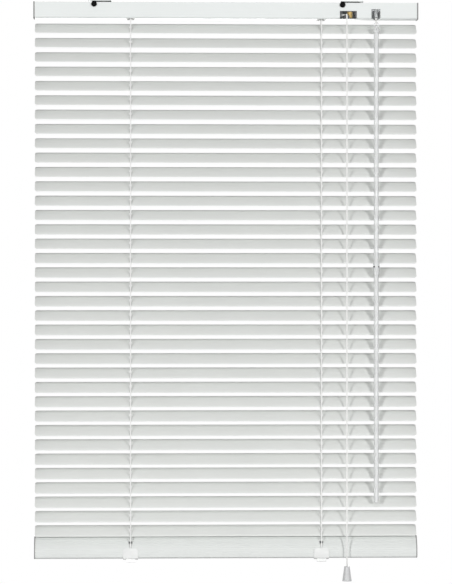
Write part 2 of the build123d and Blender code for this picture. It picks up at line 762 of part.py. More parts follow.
# Bottom rail: hollow half-round extrusion, ribbed along its dome, with a hole for each lift cord
hole_y, hole_z = rail_point(rail_hole_place, dome_height(rail_hole_place))
dome_y, dome_z = rail_point(0, rail_arc_centre)
with BuildPart() as bottom_rail:
    extrude(rail_outline(-rail_length / 2, 0), amount=rail_length)
    extrude(rail_outline(-rail_length / 2, -rail_wall), amount=rail_length, mode=Mode.SUBTRACT)
    with BuildSketch(tilted_section(-rail_length / 2, rail_setback, rail_z, rail_tilt)) as ribs:
        with Locations((0, rail_arc_centre)):
            with PolarLocations(
                rail_arc,
                rail_rib_count,
                90 - rail_rib_span / 2,
                rail_rib_span,
                endpoint=True,
            ):
                Circle(rail_rib_radius)
    extrude(amount=rail_length, mode=Mode.SUBTRACT)
    for side in (-1, 1):
        hole_plane = Plane(
            origin=(side * ladder_offset, hole_y, hole_z),
            x_dir=(1, 0, 0),
            z_dir=(0, hole_y - dome_y, hole_z - dome_z),
        )
        with BuildSketch(hole_plane) as cord_hole:
            Circle(rail_hole_radius)
        extrude(amount=2 * rail_wall, both=True, mode=Mode.SUBTRACT)
bottom_rail.part.label = "bottom_rail"
export_step(bottom_rail.part, "parts/bottom_rail.step")

# Bottom rail caps: moulded plates with a plug in each end of the rail
cap_x = rail_length / 2 + seat_gap
with BuildPart() as bottom_rail_caps:
    extrude(rail_outline(cap_x, 0), amount=rail_cap_thickness)
    extrude(rail_outline(cap_x, -rail_wall - seat_gap), amount=-rail_cap_plug)
    mirror(about=Plane.YZ)
bottom_rail_caps.part.label = "bottom_rail_caps"
export_step(bottom_rail_caps.part, "parts/bottom_rail_caps.step")

# Ladder clips: clear hooks round the rail's front edge that hold the ladder strings
clip_x = ladder_offset - clip_length / 2
tab_x = ladder_offset - clip_tab_width / 2
clip_span = rail_width / 2 + clip_thickness + clip_tab_length + clip_reach
with BuildPart() as ladder_clips:
    extrude(rail_outline(clip_x, seat_gap + clip_thickness), amount=clip_length)
    with BuildSketch(tilted_section(tab_x, rail_setback, rail_z, rail_tilt)) as clip_tab:
        with Locations((-rail_width / 2 - clip_thickness / 2, -rail_base + rail_side / 2)):
            Rectangle(
                clip_tab_length + clip_thickness / 2,
                clip_tab_thickness,
                align=(Align.MAX, Align.CENTER),
            )
    extrude(amount=clip_tab_width)
    extrude(rail_outline(clip_x, seat_gap), amount=clip_length, mode=Mode.SUBTRACT)
    rail_face = Plane(
        origin=(ladder_offset, rail_setback, rail_z),
        x_dir=(1, 0, 0),
        z_dir=(0, -sin(radians(rail_tilt)), cos(radians(rail_tilt))),
    )
    with BuildSketch(rail_face) as clip_outline:
        with Locations((0, clip_reach)):
            RectangleRounded(clip_length, clip_span, clip_corner, align=(Align.CENTER, Align.MAX))
    extrude(amount=2 * rail_height, both=True, mode=Mode.INTERSECT)
    mirror(about=Plane.YZ)
ladder_clips.part.label = "ladder_clips"
export_step(ladder_clips.part, "parts/ladder_clips.step")

# Ladder cords: each string runs from the front of the rail over its drum and down behind the
# slats to the rail's underside, with two rungs under every slat
string_bend = 6.0
string_floor_z = headrail_floor + cradle_base / 3
string_rear_knee = first_slat_z + 0.3 * slat_width
string_front_knee = first_slat_z - 0.4 * slat_width
front_end_y, front_end_z = rail_point(
    clip_reach + cord_gap, dome_height(clip_reach) + clip_thickness / 2
)
under_rail = -rail_base - string_radius - cord_gap
corner_point = rail_point(rail_width / 2 + string_radius + cord_gap, under_rail)
rear_end = rail_point(clip_reach + 2 * cord_gap, under_rail)
rail_edge = rail_point(rail_width / 2 + string_radius + cord_gap, -rail_base + rail_side)
rung_level = -slat_crown - slat_thickness / 2 - rung_radius - cord_gap / 2
rung_front = (string_front_y + rung_level * tilt_sin) / tilt_cos
rung_rear = (string_rear_y + rung_level * tilt_sin) / tilt_cos
rung_direction = (0, tilt_cos, tilt_sin)
rung_start_y = rung_front * tilt_cos - rung_level * tilt_sin
rung_start_rise = rung_front * tilt_sin + rung_level * tilt_cos
rung_places = []
for slat_z in slat_levels:
    for side in (-1, 1):
        for thread in (-1, 1):
            start = (
                side * ladder_offset + thread * rung_offset,
                rung_start_y,
                slat_z + rung_start_rise,
            )
            rung_places.append(Plane(origin=start, z_dir=rung_direction).location)
with BuildPart() as ladder_cords:
    for side in (-1, 1):
        with BuildLine(Plane.YZ.offset(side * ladder_offset)) as string_line:
            front = FilletPolyline(
                (string_front_y, front_end_z + string_radius + cord_gap),
                (string_front_y, string_front_knee),
                (-string_drum_radius, string_floor_z),
                (-string_drum_radius, rod_z),
                radius=string_bend,
            )
            over_drum = ThreePointArc(
                (-string_drum_radius, rod_z),
                (0, rod_z + string_drum_radius),
                (string_drum_radius, rod_z),
            )
            rear = FilletPolyline(
                (string_drum_radius, rod_z),
                (string_drum_radius, string_floor_z),
                (string_rear_y, string_rear_knee),
                (string_rear_y, rail_edge[1] + rail_corner),
                corner_point,
                rear_end,
                radius=(string_bend, string_bend, 1.5, 1.5),
            )
        string_path = string_line.wire()
        with BuildSketch(Plane(origin=string_path @ 0, z_dir=string_path % 0)) as string_section:
            Circle(string_radius)
        sweep()
    with Locations(*rung_places):
        Cylinder(
            rung_radius, rung_rear - rung_front, align=(Align.CENTER, Align.CENTER, Align.MIN)
        )
ladder_cords.part.label = "ladder_cords"
export_step(ladder_cords.part, "parts/ladder_cords.step")

# Lift cords: from a knot in the rail, up through the slats, and along the headrail to the lock
lift_turn = 4.0
lift_bend = 6.0
entry_y = hole_y + 0.3
lift_end_z = hole_z - 5.0
lift_levels = (
    rod_z - drum_flange_radius - lift_cord_radius - cord_gap,
    rod_z - drum_flange_radius - 3 * lift_cord_radius - 4 * cord_gap,
)
with BuildPart() as lift_cords:
    for side, level in zip((-1, 1), lift_levels):
        cord_x = side * ladder_offset
        lock_level = cord_run_z - side * (lift_cord_radius + cord_gap / 2)
        with BuildLine() as lift_line:
            FilletPolyline(
                (cord_x, entry_y, lift_end_z),
                (cord_x, entry_y, hole_z + 3.5),
                (cord_x, 0, last_slat_z - slat_width / 5),
                (cord_x, 0, level),
                (ladder_offset + cradle_length / 2, 0, level),
                (lock_offset - lock_width / 2 - lift_turn, roller_y, lock_level),
                (pull_x - pull_cord_radius - cord_gap, roller_y, lock_level),
                radius=(lift_bend, lift_bend, lift_turn, lift_bend, lift_turn),
            )
        lift_path = lift_line.wire()
        with BuildSketch(Plane(origin=lift_path @ 0, z_dir=lift_path % 0)) as lift_section:
            Circle(lift_cord_radius)
        sweep()
        with Locations((cord_x, entry_y, lift_end_z)):
            Sphere(lift_knot_radius)
lift_cords.part.label = "lift_cords"
export_step(lift_cords.part, "parts/lift_cords.step")
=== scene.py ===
import json
import bmesh
import bpy
import numpy as np
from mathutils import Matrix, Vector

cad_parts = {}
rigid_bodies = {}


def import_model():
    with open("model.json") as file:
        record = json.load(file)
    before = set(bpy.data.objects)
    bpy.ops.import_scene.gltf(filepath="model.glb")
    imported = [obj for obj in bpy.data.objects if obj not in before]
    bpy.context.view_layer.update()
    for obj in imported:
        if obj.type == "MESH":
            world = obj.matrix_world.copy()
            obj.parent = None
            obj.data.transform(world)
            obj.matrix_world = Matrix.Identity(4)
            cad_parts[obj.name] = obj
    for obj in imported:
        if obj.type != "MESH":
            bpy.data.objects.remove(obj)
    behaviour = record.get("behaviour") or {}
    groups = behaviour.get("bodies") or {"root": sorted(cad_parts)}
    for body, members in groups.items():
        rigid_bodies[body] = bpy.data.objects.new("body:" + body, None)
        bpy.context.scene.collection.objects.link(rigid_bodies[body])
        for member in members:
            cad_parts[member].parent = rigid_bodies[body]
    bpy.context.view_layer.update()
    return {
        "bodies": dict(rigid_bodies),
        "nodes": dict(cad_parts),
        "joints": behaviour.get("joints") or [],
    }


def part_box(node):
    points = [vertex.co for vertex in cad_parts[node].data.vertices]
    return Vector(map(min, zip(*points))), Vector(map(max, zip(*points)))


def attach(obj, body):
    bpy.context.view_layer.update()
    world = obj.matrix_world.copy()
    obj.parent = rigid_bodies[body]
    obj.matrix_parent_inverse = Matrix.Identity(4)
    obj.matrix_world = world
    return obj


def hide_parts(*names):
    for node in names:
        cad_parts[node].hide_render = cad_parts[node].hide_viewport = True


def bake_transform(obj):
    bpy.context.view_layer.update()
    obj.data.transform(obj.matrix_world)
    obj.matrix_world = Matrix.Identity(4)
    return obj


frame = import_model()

nodes = frame["nodes"]
MM = 0.001

# The blind hangs in a white studio and is seen from its own mid height, a few degrees from the
# left, by a long lens four metres away. Two lamps stand in front, left and right, with a
# weaker one over the camera, and two soft ones light the back and the top.
scene = bpy.context.scene
scene.view_settings.view_transform = "Standard"
camera = bpy.data.objects.new("camera", bpy.data.cameras.new("camera"))
scene.collection.objects.link(camera)
scene.camera = camera
camera_far, camera_turn, camera_height = 4.07, np.radians(2.0), -0.4483
frame_height = 0.90035
camera.location = (-camera_far * np.sin(camera_turn), -camera_far * np.cos(camera_turn), camera_height)
camera.rotation_euler = (np.pi / 2, 0.0, -camera_turn)
camera.data.sensor_fit = "VERTICAL"
camera.data.angle = 2 * np.arctan(frame_height / 2 / camera_far)
camera.data.clip_end = 60.0


class Wire:
    """An output socket of a node tree. Arithmetic on wires adds Math nodes to the tree."""

    def __init__(self, tree, socket=None):
        self.tree = tree
        self.socket = socket

    def node(self, kind, settings=None, links=None, out=0):
        """A node of that kind: its settings, then the values or wires of its sockets."""
        made = self.tree.nodes.new(kind)
        for key, value in (settings or {}).items():
            if key == "stops":
                ramp = made.color_ramp.elements
                while len(ramp) < len(value):
                    ramp.new(0.5)
                for stop, (place, colour) in zip(ramp, value):
                    stop.position = place
                    stop.color = colour
            else:
                setattr(made, key, value)
        for key, value in (links or {}).items():
            if isinstance(value, Wire):
                self.tree.links.new(value.socket, made.inputs[key])
            else:
                made.inputs[key].default_value = value
        return Wire(self.tree, made.outputs[out] if made.outputs else None)

    def math(self, operation, first, second=0.0):
        return self.node("ShaderNodeMath", {"operation": operation}, {0: first, 1: second})

    def __add__(self, other):
        return self.math("ADD", self, other)

    def __sub__(self, other):
        return self.math("SUBTRACT", self, other)

    def __rsub__(self, other):
        return self.math("SUBTRACT", other, self)

    def __mul__(self, other):
        return self.math("MULTIPLY", self, other)

    __radd__ = __add__
    __rmul__ = __mul__

    def sine(self):
        return self.math("SINE", self)

    def most(self, other):
        return self.math("MAXIMUM", self, other)


studio = bpy.data.worlds.new("studio")
studio.use_nodes = True
studio.node_tree.nodes.clear()
air = Wire(studio.node_tree)
seen = air.node("ShaderNodeLightPath", out="Is Camera Ray")
seen = seen.most(air.node("ShaderNodeLightPath", out="Is Glossy Ray"))
seen = seen.most(air.node("ShaderNodeLightPath", out="Is Transmission Ray"))
level = seen * 0.9 + 0.1
sky = air.node("ShaderNodeBackground", {}, {"Color": (1, 1, 1, 1), "Strength": level})
air.node("ShaderNodeOutputWorld", {}, {"Surface": sky})
scene.world = studio
blind_middle = (0.0, 0.0, -0.45)


def lamp(name, place, size, power):
    """Square area lamp at place, turned to the middle of the blind."""
    light = bpy.data.lights.new(name, "AREA")
    light.size = size
    light.energy = power
    lit = bpy.data.objects.new(name, light)
    lit.location = place
    way = np.array(blind_middle) - np.array(place)
    flat = np.hypot(way[0], way[1])
    lit.rotation_euler = (np.arctan2(flat, -way[2]), 0.0, np.arctan2(way[1], way[0]) - np.pi / 2)
    scene.collection.objects.link(lit)


lamp("lamp_left", (-1.7, -3.4, -0.1), 0.05, 54.5)
lamp("lamp_right", (1.7, -3.4, -0.1), 0.05, 52.5)
lamp("lamp_over", (0.0, -3.0, 1.3), 0.25, 15.0)
lamp("lamp_behind", (0.0, 3.8, -0.3), 1.0, 28.0)
lamp("lamp_top", (0.0, 0.0, 2.6), 0.5, 22.0)


# The floor under the blind is a plain pale sheet of painted board. It lies below what the
# photograph shows.
weld = 0.002 * MM


def mesh_piece(name, points, faces, material, body, uvs=None):
    """Smooth mesh object at the origin from points in metres, riding on a body of the blind."""
    mesh = bpy.data.meshes.new(name)
    mesh.from_pydata(np.asarray(points).tolist(), [], np.asarray(faces).tolist())
    mesh.update()
    mesh.polygons.foreach_set("use_smooth", np.ones(len(mesh.polygons), dtype=bool))
    if uvs is not None:
        corner = np.empty(len(mesh.loops), dtype=np.int32)
        mesh.loops.foreach_get("vertex_index", corner)
        layer = mesh.uv_layers.new(name="UVMap")
        layer.data.foreach_set("uv", np.asarray(uvs)[corner].astype(np.float32).ravel())
    form = bmesh.new()
    form.from_mesh(mesh)
    bmesh.ops.remove_doubles(form, verts=form.verts, dist=weld)
    form.to_mesh(mesh)
    form.free()
    piece = bpy.data.objects.new(name, mesh)
    scene.collection.objects.link(piece)
    mesh.materials.append(material)
    if body:
        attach(piece, body)
    return piece


def grid_faces(rows, columns, wrap=False):
    """Quads of a grid of rows by columns of points; wrap joins the last column to the first."""
    row = np.arange(rows - 1)[:, None]
    column = np.arange(columns if wrap else columns - 1)[None, :]
    after = (column + 1) % columns
    low = row * columns
    high = low + columns
    return np.stack([low + column, low + after, high + after, high + column], -1).reshape(-1, 4)


def new_finish(name):
    """An empty material and a wire to build it with."""
    material = bpy.data.materials.new(name)
    material.use_nodes = True
    material.node_tree.nodes.clear()
    return material, Wire(material.node_tree)


def shade(w, sockets):
    """Ends a material in a Principled shader with these values and wires on its sockets."""
    surface = w.node("ShaderNodeBsdfPrincipled", {}, sockets)
    w.node("ShaderNodeOutputMaterial", {}, {"Surface": surface})


floor_finish, w = new_finish("studio_floor")
shade(w, {"Base Color": (0.92, 0.92, 0.92, 1), "Roughness": 0.8})
floor_x = np.array([[-1.6, 1.6]])
floor_y = np.array([[-0.9], [0.9]])
floor_z = -1.02
floor_points = np.stack(np.broadcast_arrays(floor_x, floor_y, floor_z), -1)
floor = mesh_piece("studio_floor", floor_points.reshape(-1, 3), grid_faces(2, 2), floor_finish, None)


# The headrail is a folded channel of steel strip with baked white enamel. Its ceiling plates
# have the same paint.
def two_tone(w, colour, dark, share, low=0.3, high=0.7):
    """Ramp from a dark share of the colour at low to the whole colour at high."""
    stops = [(low, [dark * c for c in colour] + [1]), (high, list(colour) + [1])]
    return w.node("ShaderNodeValToRGB", {"stops": stops}, {"Fac": share})


def enamel(name, colour, rough, streaks, coat=0.15, shine=0.5):
    """Baked enamel: faint drawn-out streaks along X, a soft orange peel and uneven gloss."""
    material, w = new_finish(name)
    place = w.node("ShaderNodeTexCoord", out="Object")
    drawn = w.node("ShaderNodeMapping", {}, {"Vector": place, "Scale": (0.04, 1.0, 1.0)})
    streak = w.node("ShaderNodeTexNoise", {}, {"Vector": drawn, "Scale": 700.0, "Detail": 3.0})
    cloud = w.node("ShaderNodeTexNoise", {}, {"Vector": place, "Scale": 14.0, "Detail": 2.0})
    peel = w.node("ShaderNodeTexNoise", {}, {"Vector": place, "Scale": 1600.0, "Detail": 1.0})
    tone = two_tone(w, colour, 1 - streaks, streak * 0.5 + cloud * 0.5)
    bump = w.node(
        "ShaderNodeBump", {}, {"Strength": 0.12, "Distance": 0.0002, "Height": peel * 0.6 + streak * 0.4}
    )
    shade(
        w,
        {
            "Base Color": tone,
            "Roughness": cloud * 0.12 + rough,
            "Normal": bump,
            "Specular IOR Level": shine,
            "Coat Weight": coat,
            "Coat Roughness": 0.2,
        },
    )
    return material


def dress(material, *names):
    """Gives CAD pieces their finish."""
    for name in names:
        for part in nodes[name].material_slots:
            part.material = material


dress(enamel("headrail_enamel", (0.815, 0.845, 0.835), 0.34, 0.03), "headrail", "mounting_brackets")


# The ladder cradles, drums, worm and worm wheel are moulded in white plastic, with a fine matt grain
# from the mould. The end caps of headrail and bottom rail have the same grain, and their dark grey is
# painted shade for the dark shadow line at the headrail's ends.
def moulded(name, colour, rough, grain, shine=0.5):
    """Moulded plastic: a pebble grain in the height and a slight mottle in the colour."""
    material, w = new_finish(name)
    place = w.node("ShaderNodeTexCoord", out="Object")
    pebble = w.node("ShaderNodeTexVoronoi", {}, {"Vector": place, "Scale": grain}, out="Distance")
    mottle = w.node("ShaderNodeTexNoise", {}, {"Vector": place, "Scale": 60.0, "Detail": 4.0})
    tone = two_tone(w, colour, 0.93, mottle)
    bump = w.node("ShaderNodeBump", {}, {"Strength": 0.15, "Distance": 0.0002, "Height": pebble})
    shade(
        w,
        {
            "Base Color": tone,
            "Roughness": mottle * 0.15 + rough,
            "Specular IOR Level": shine,
            "Normal": bump,
        },
    )
    return material


white_plastic = moulded("white_moulded_plastic", (0.82, 0.82, 0.80), 0.4, 1500.0)
dress(white_plastic, "ladder_cradles", "tilt_drums", "worm_wheel", "worm")
# The caps' dark grey is painted shade for the shadow line at the ends.
dress(moulded("cap_plastic_painted_shade", (0.28, 0.28, 0.28), 0.45, 1500.0), "end_caps", "bottom_rail_caps")


# The two latches that lock the headrail to its ceiling plates are black moulded plastic, each
# with a round thumb tab in front of the headrail.
latch_plastic = moulded("black_latch_plastic", (0.002, 0.002, 0.002), 0.5, 1800.0, shine=0.05)
dress(latch_plastic, "latch_left", "latch_right")


# The tilt rod and the wand's hook are zinc-plated steel, with the cloudy grey patches of the plating.
# The cord lock's case has the same plating, painted near black: painted shade for the dark inside of the
# cord lock seen through its window.
def plated(name, colour, rough, speckle):
    """Plated metal: cloudy patches in colour and gloss, with fine scratches along the piece."""
    material, w = new_finish(name)
    place = w.node("ShaderNodeTexCoord", out="Object")
    cloud = w.node("ShaderNodeTexNoise", {}, {"Vector": place, "Scale": speckle, "Detail": 5.0})
    drawn = w.node("ShaderNodeMapping", {}, {"Vector": place, "Scale": (0.05, 1.0, 1.0)})
    scratch = w.node("ShaderNodeTexNoise", {}, {"Vector": drawn, "Scale": 2500.0, "Detail": 2.0})
    tone = two_tone(w, colour, 0.72, cloud)
    bump = w.node("ShaderNodeBump", {}, {"Strength": 0.1, "Distance": 0.0001, "Height": scratch})
    shade(
        w,
        {"Base Color": tone, "Metallic": 1.0, "Roughness": cloud * 0.25 + rough, "Normal": bump},
    )
    return material


dress(plated("zinc_plated_steel", (0.62, 0.62, 0.63), 0.25, 260.0), "tilt_rod", "wand_hook")
# The case's near-black is painted shade for the dark inside of the cord lock.
dress(plated("dark_lock_plating_painted_shade", (0.09, 0.09, 0.095), 0.4, 260.0), "cord_lock_body")


# The cord lock's roller is turned brass with a fluted rim. It sits in the shade of the case, and its
# brass is painted a dark brown as painted shade.
# The roller's dark brown is painted shade from the case around it.
dress(plated("roller_brass_painted_shade", (0.42, 0.31, 0.13), 0.35, 400.0), "cord_lock_roller")


# The tilter's case, the wand with its head and joint, and the ladder clips are clear plastic.
# The wand's rods are extruded, the rest is moulded, and the clips snap into the bottom rail.
def clear(name, tint, rough, passes):
    """Clear plastic: a share of the light passes and bends, with faint flow lines in the gloss."""
    material, w = new_finish(name)
    place = w.node("ShaderNodeTexCoord", out="Object")
    flow = w.node("ShaderNodeTexNoise", {}, {"Vector": place, "Scale": 120.0, "Detail": 3.0})
    tone = two_tone(w, tint, 0.95, flow)
    bump = w.node("ShaderNodeBump", {}, {"Strength": 0.05, "Distance": 0.0003, "Height": flow})
    shade(
        w,
        {
            "Base Color": tone,
            "Roughness": flow * 0.08 + rough,
            "Transmission Weight": passes,
            "IOR": 1.49,
            "Normal": bump,
        },
    )
    return material


dress(clear("clear_wand_plastic", (0.95, 0.96, 0.96), 0.1, 0.35), "wand_head", "wand_rods", "wand_joint")
dress(clear("clear_case_plastic", (0.90, 0.92, 0.93), 0.08, 0.9), "tilter_housing")
dress(clear("milky_clip_plastic", (0.97, 0.98, 0.97), 0.15, 0.15), "ladder_clips")


# Two dark steel pegs hold the wand's two rods in their joint sleeve. They are pressed in from
# the front, left and right, and stand a little proud of the plastic.
def lathe(profile, sides, centre):
    """Surface of revolution: each profile point, as radius and height, turned round Z."""
    angle = np.linspace(0, 2 * np.pi, sides, endpoint=False)
    radius = profile[:, 0][:, None]
    points = np.stack(
        np.broadcast_arrays(radius * np.cos(angle), radius * np.sin(angle), profile[:, 1][:, None]), -1
    )
    return (points.reshape(-1, 3) + np.array(centre)) * MM, grid_faces(len(profile), sides, wrap=True)


peg_finish = plated("peg_steel", (0.03, 0.03, 0.035), 0.45, 300.0)
peg_profile = np.array([(0.0, 0.6), (0.8, 0.5), (1.3, 0.2), (1.4, -0.1), (1.4, -1.0), (0.0, -1.0)])
peg_angle, peg_drop, sleeve_radius = np.radians(49), 6.1, 4.9
peg_points, peg_faces = lathe(peg_profile, 16, (0, 0, 0))
sleeve_low, sleeve_high = np.array(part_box("wand_joint")) / MM
sleeve_middle = (sleeve_low + sleeve_high) / 2
for peg_name, peg_turn in (("left", -peg_angle), ("right", peg_angle)):
    out = np.array([np.sin(peg_turn), -np.cos(peg_turn), 0.0])
    axes = np.array([[np.cos(peg_turn), np.sin(peg_turn), 0.0], [0.0, 0.0, 1.0], out])
    peg_place = np.array([*(sleeve_middle + sleeve_radius * out)[:2], sleeve_high[2] - peg_drop]) * MM
    peg_form = peg_points @ axes + peg_place
    peg = mesh_piece("wand_peg_" + peg_name, peg_form, peg_faces, peg_finish, "wand")


# The slats are crowned strips of aluminium, coil coated in white and cut with rounded corners.
# Each has two punched slots, where the lift cords go through.
slat_finish = enamel("slat_enamel", (0.82, 0.835, 0.815), 0.5, 0.04, coat=0.0, shine=0.2)
slat_half_length, slat_half_width, slat_corner, slat_gauge = 294.0, 12.5, 4.0, 0.25
slat_crown, slat_tilt = 2.0, np.radians(40)
slat_arc = (slat_half_width**2 + slat_crown**2) / (2 * slat_crown)
ladder_x, slot_half_width, slot_half_length, slot_margin = 147.0, 1.8, 4.0, 0.4
slot_flat = slot_half_length - slot_half_width
front_share = np.linspace(-1, -slot_flat / slat_half_width, 6)
middle_share = np.linspace(-slot_flat / slat_half_width, slot_flat / slat_half_width, 5)[1:-1]
whole_share = np.r_[front_share, middle_share, -front_share[::-1]]


def slat_zone(x, chord):
    """Points of a stretch of slat: at each x a row of places across the chord, on the crown's arc."""
    x = np.broadcast_to(x[:, None], chord.shape)
    crown = np.sqrt(slat_arc**2 - chord**2) - slat_arc
    y = chord * np.cos(slat_tilt) - crown * np.sin(slat_tilt)
    z = chord * np.sin(slat_tilt) + crown * np.cos(slat_tilt)
    return np.stack([x, y, z], -1).reshape(-1, 3), grid_faces(*chord.shape)


def joined(stretches):
    """One mesh of several stretches, each given as its points and faces."""
    starts = np.cumsum([0] + [len(points) for points, _ in stretches])
    points = np.concatenate([points for points, _ in stretches])
    faces = np.concatenate([faces + start for (_, faces), start in zip(stretches, starts)])
    return points, faces


sweep = np.linspace(0, np.pi / 2, 8)
corner_start = slat_half_length - slat_corner
corner_x = corner_start + slat_corner * np.sin(sweep)
corner_wide = slat_half_width - slat_corner + slat_corner * np.cos(sweep)
slot_side = ladder_x + slot_half_width
straight_x = np.r_[slot_side, np.linspace(slot_side + slot_margin, corner_start, 5)[:-1]]
outer_x = np.r_[straight_x, corner_x]
outer_wide = np.r_[np.full(len(straight_x), slat_half_width), corner_wide]
slot_near = ladder_x - slot_half_width
inner_reach = slot_near - slot_margin
inner_x = np.r_[-slot_near, np.linspace(-inner_reach, inner_reach, 12), slot_near]
slot_x = -slot_half_width * np.cos(np.linspace(0, np.pi, 11))
slot_edge = slot_flat + np.sqrt(np.maximum(slot_half_width**2 - slot_x**2, 0))
slot_front = -slat_half_width + np.linspace(0, 1, 6)[None, :] * (slat_half_width - slot_edge)[:, None]
zones = [
    slat_zone(inner_x, np.broadcast_to(slat_half_width * whole_share, (len(inner_x), len(whole_share)))),
    slat_zone(outer_x, outer_wide[:, None] * whole_share),
    slat_zone(-outer_x[::-1], outer_wide[::-1, None] * whole_share),
]
for centre in (-ladder_x, ladder_x):
    zones.append(slat_zone(centre + slot_x, slot_front))
    zones.append(slat_zone(centre + slot_x, -slot_front[:, ::-1]))
slat_points, slat_faces = joined(zones)
slat_names = sorted(name for name in frame["bodies"] if name.startswith("slat_"))
pivots = {joint["child"]: np.array(joint["pos_m"]) / MM for joint in frame["joints"] if "pos_m" in joint}
slat_heights = [pivots[name][2] for name in slat_names]
for name, height in zip(slat_names, slat_heights):
    place = (slat_points + (0, 0, height)) * MM
    slat = mesh_piece(name + "_strip", place, slat_faces, slat_finish, name)
    wall = slat.modifiers.new("strip", "SOLIDIFY")
    wall.thickness = slat_gauge * MM
    wall.offset = 0.0
    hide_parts(name)


# The ladders are knitted from white polyester thread. Two rungs cross under each slat, and the
# two strings go up to the drums in the headrail and down to the rail.
def braided(name, colour, strands, pitch):
    """Braid on a tube: two sets of strands that cross, as waves round and along the cord."""
    material, w = new_finish(name)
    uv = w.node("ShaderNodeTexCoord", out="UV")
    around = w.node("ShaderNodeSeparateXYZ", {}, {0: uv}, out="X")
    along = w.node("ShaderNodeSeparateXYZ", {}, {0: uv}, out="Y")
    turn = around * (2 * np.pi * strands)
    rise = along * (2 * np.pi / pitch)
    weave = (turn + rise).sine().most((turn - rise).sine())
    place = w.node("ShaderNodeTexCoord", out="Object")
    fuzz = w.node("ShaderNodeTexNoise", {}, {"Vector": place, "Scale": 900.0, "Detail": 4.0})
    # The colour is a little darker where the weave is low, in the grooves between the strands: painted
    # shade.
    tone = two_tone(w, colour, 0.9, weave * 0.35 + fuzz * 0.5 + 0.15, low=0.0, high=0.75)
    relief = weave + fuzz * 0.4
    bump = w.node("ShaderNodeBump", {}, {"Strength": 0.25, "Distance": 0.0002, "Height": relief})
    shade(
        w,
        {"Base Color": tone, "Roughness": 0.78, "Normal": bump, "Sheen Weight": 0.2},
    )
    return material


def cord_line(route):
    """Points of a smooth quadratic spline with the route's points as its control points."""
    curve = bpy.data.curves.new("route", "CURVE")
    curve.dimensions = "3D"
    spline = curve.splines.new("NURBS")
    spline.points.add(len(route) - 1)
    spline.points.foreach_set("co", np.c_[np.array(route) * MM, np.ones(len(route))].ravel())
    spline.order_u = 3
    spline.use_endpoint_u = True
    spline.resolution_u = 16
    holder = bpy.data.objects.new("route", curve)
    scene.collection.objects.link(holder)
    bpy.context.view_layer.update()
    mesh = bpy.data.meshes.new_from_object(holder.evaluated_get(bpy.context.evaluated_depsgraph_get()))
    line = np.empty(3 * len(mesh.vertices))
    mesh.vertices.foreach_get("co", line)
    bpy.data.objects.remove(holder)
    bpy.data.meshes.remove(mesh)
    return line.reshape(-1, 3)


def tube(line, radius, sides):
    """Points, faces and UV of a round tube: a circle square to the line at each of its points.

    The circle shrinks to the line's end point at both ends. No line runs along the askew direction.
    """
    askew = (0.93, 0.31, 0.19)
    ahead = np.gradient(line, axis=0)
    ahead /= np.linalg.norm(ahead, axis=1)[:, None]
    across = np.cross(ahead, askew)
    across /= np.linalg.norm(across, axis=1)[:, None]
    other = np.cross(ahead, across)
    angle = np.linspace(0, 2 * np.pi, sides + 1)
    ring = across[:, None] * np.cos(angle)[:, None] + other[:, None] * np.sin(angle)[:, None]
    points = line[:, None] + radius * ring
    ends = np.broadcast_to(line[[0, -1], None], (2, sides + 1, 3))
    points = np.concatenate([ends[:1], points, ends[1:]]).reshape(-1, 3)
    run = np.r_[0, 0, np.cumsum(np.linalg.norm(np.diff(line, axis=0), axis=1))]
    run = np.r_[run, run[-1]]
    uvs = np.stack(np.broadcast_arrays(angle[None, :] / (2 * np.pi), run[:, None]), -1).reshape(-1, 2)
    return points, grid_faces(len(line) + 2, sides + 1), uvs


thread_finish = braided("ladder_thread", (0.95, 0.95, 0.94), 3, 0.0016)
string_radius, string_gap = 0.9, 0.02
rung_radius, rung_gap, rung_spread = 0.3, 0.1, 1.15
cos_tilt, sin_tilt = np.cos(slat_tilt), np.sin(slat_tilt)
string_front = -slat_half_width * cos_tilt + slat_crown * sin_tilt - string_radius - string_gap
string_rear = slat_half_width * cos_tilt + slat_crown * sin_tilt + string_radius + string_gap
rung_level = -slat_crown - slat_gauge / 2 - rung_radius - rung_gap
rung_reach = np.array([string_front, string_rear])
rung_chord = (rung_reach + rung_level * sin_tilt) / cos_tilt
rung_rise = rung_chord * sin_tilt + rung_level * cos_tilt
share = np.linspace(0, 1, 9)
rungs = []
for side_x in (-ladder_x, ladder_x):
    for offset in (-rung_spread, rung_spread):
        line = np.stack(
            [
                side_x + offset * np.sin(np.pi * share) ** 0.5,
                rung_reach[0] + share * (rung_reach[1] - rung_reach[0]),
                rung_rise[0] + share * (rung_rise[1] - rung_rise[0]),
            ],
            -1,
        )
        rungs.append(tube(line, rung_radius, 6))
rung_points, rung_faces = joined([(points, faces) for points, faces, _ in rungs])
rung_uvs = np.concatenate([uvs for _, _, uvs in rungs]) * (1, MM)
for name, height in zip(slat_names, slat_heights):
    place = (rung_points + (0, 0, height)) * MM
    rung = mesh_piece(name + "_rungs", place, rung_faces, thread_finish, name, uvs=rung_uvs)


def hang(name, route, radius, sides, finish, node, bend=None):
    """Thread along a route, riding on the headrail. With a bend, it rides on no body and stays where it
    is in the world.
    """
    points, faces, uvs = tube(cord_line(route), radius * MM, sides)
    thread = mesh_piece(name, points, faces, finish, None if bend else "headrail", uvs=uvs)
    if bend:
        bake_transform(thread)
    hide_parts(node)


def string(name, x, *places, bend=None):
    """Ladder string at x through places in Y and Z."""
    route = [(x, y, z) for y, z in places]
    bend = bend and [(x, y, z) for y, z in bend]
    hang(name, route, string_radius, 8, thread_finish, "ladder_cords", bend)


